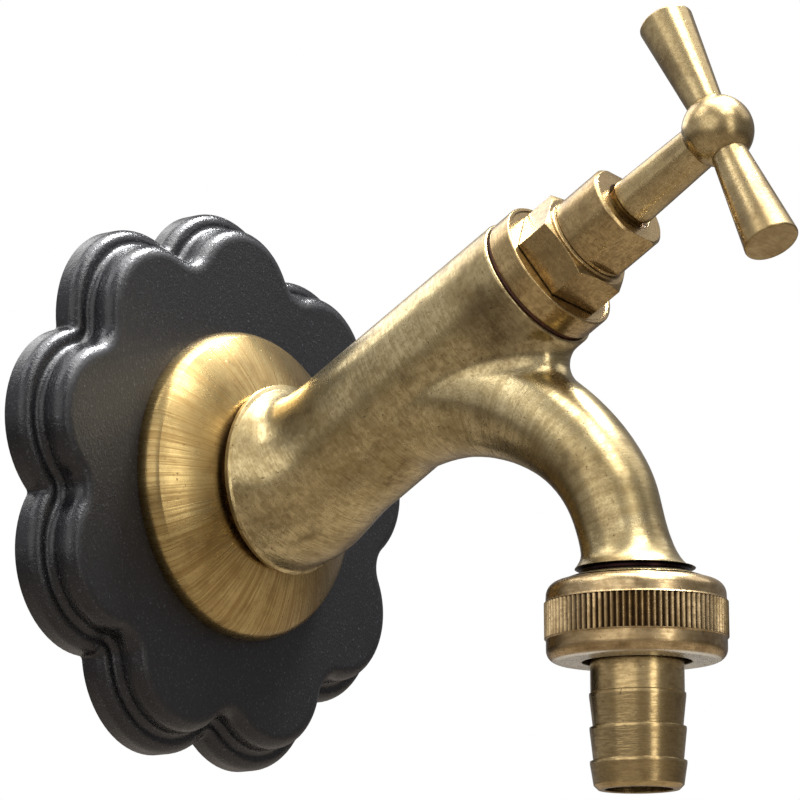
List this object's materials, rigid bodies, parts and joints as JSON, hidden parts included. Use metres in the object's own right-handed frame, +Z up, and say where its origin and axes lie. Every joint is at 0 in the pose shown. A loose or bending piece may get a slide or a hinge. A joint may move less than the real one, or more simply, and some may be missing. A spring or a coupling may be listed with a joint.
{
  "type": "hose bib",
  "caption": "Wall-mounted brass garden tap on a lobed black backing plate, with a T handle, swan-neck spout, knurled union nut and barbed hose tail.",
  "frame": {"origin": "where the inlet axis meets the wall plane, at the back of the wall plate", "axes": "+X out of the wall along the inlet axis, +Z up, +Y to the right of somebody facing the wall"},
  "size_m": [0.1573, 0.1103, 0.1438],
  "materials": {
    "black_iron": "fine rough-cast black paint with a satin sheen",
    "flange_brass": "golden brushed brass with radial brush streaks",
    "body_brass": "aged olive-gold brass, hand brushed, brown patina",
    "headwork_brass": "aged brass with lathe rings",
    "handle_brass": "aged brass, worn smooth",
    "nut_brass": "aged brass, dark in the knurl",
    "tail_brass": "aged brass with fine lathe rings",
    "plain_brass": "plain machined brass",
    "rubber": "black rubber",
    "fibre": "dark red-brown fibre",
    "graphite": "graphited packing yarn",
    "steel": "bright stainless steel"
  },
  "bodies": {
    "tap": {"wall_plate": "black_iron", "wall_flange": "flange_brass", "tap_body": "body_brass", "bonnet_washer": "fibre", "bonnet": "headwork_brass", "gland_nut": "headwork_brass", "gland_packing": "graphite", "packing_washer": "plain_brass"},
    "valve": {"jumper_valve": "plain_brass", "jumper_clip": "steel", "seat_washer": "rubber", "washer_nut": "plain_brass"},
    "handle": {"spindle": "plain_brass", "handle_hub": "handle_brass", "handle_bar_upper": "handle_brass", "handle_bar_lower": "handle_brass", "handle_grub_screw": "steel"},
    "tail": {"hose_tail": "tail_brass", "union_washer": "rubber"},
    "nut": {"union_nut": "nut_brass"}
  },
  "joints": [
    {"name": "spindle_rise", "type": "slide", "parent": "tap", "child": "valve", "axis": [0.8757, 0, 0.4828], "range_m": [0, 0.005]},
    {"name": "handle_turn", "type": "hinge", "parent": "valve", "child": "handle", "pos_m": [0.0292, 0, 0], "axis": [0.8757, 0, 0.4828], "range_deg": [0, 720]},
    {"name": "union_drop", "type": "slide", "parent": "tap", "child": "tail", "axis": [0, 0, -1], "range_m": [0, 0.00544]},
    {"name": "nut_turn", "type": "hinge", "parent": "tail", "child": "nut", "pos_m": [0.1055, 0, -0.035], "axis": [0, 0, -1], "range_deg": [0, 1080]}
  ],
  "couplings": [
    {"joint": "handle_turn", "follows": "spindle_rise", "rad_per_m": 2513.3},
    {"joint": "nut_turn", "follows": "union_drop", "rad_per_m": 3463.7}
  ]
}
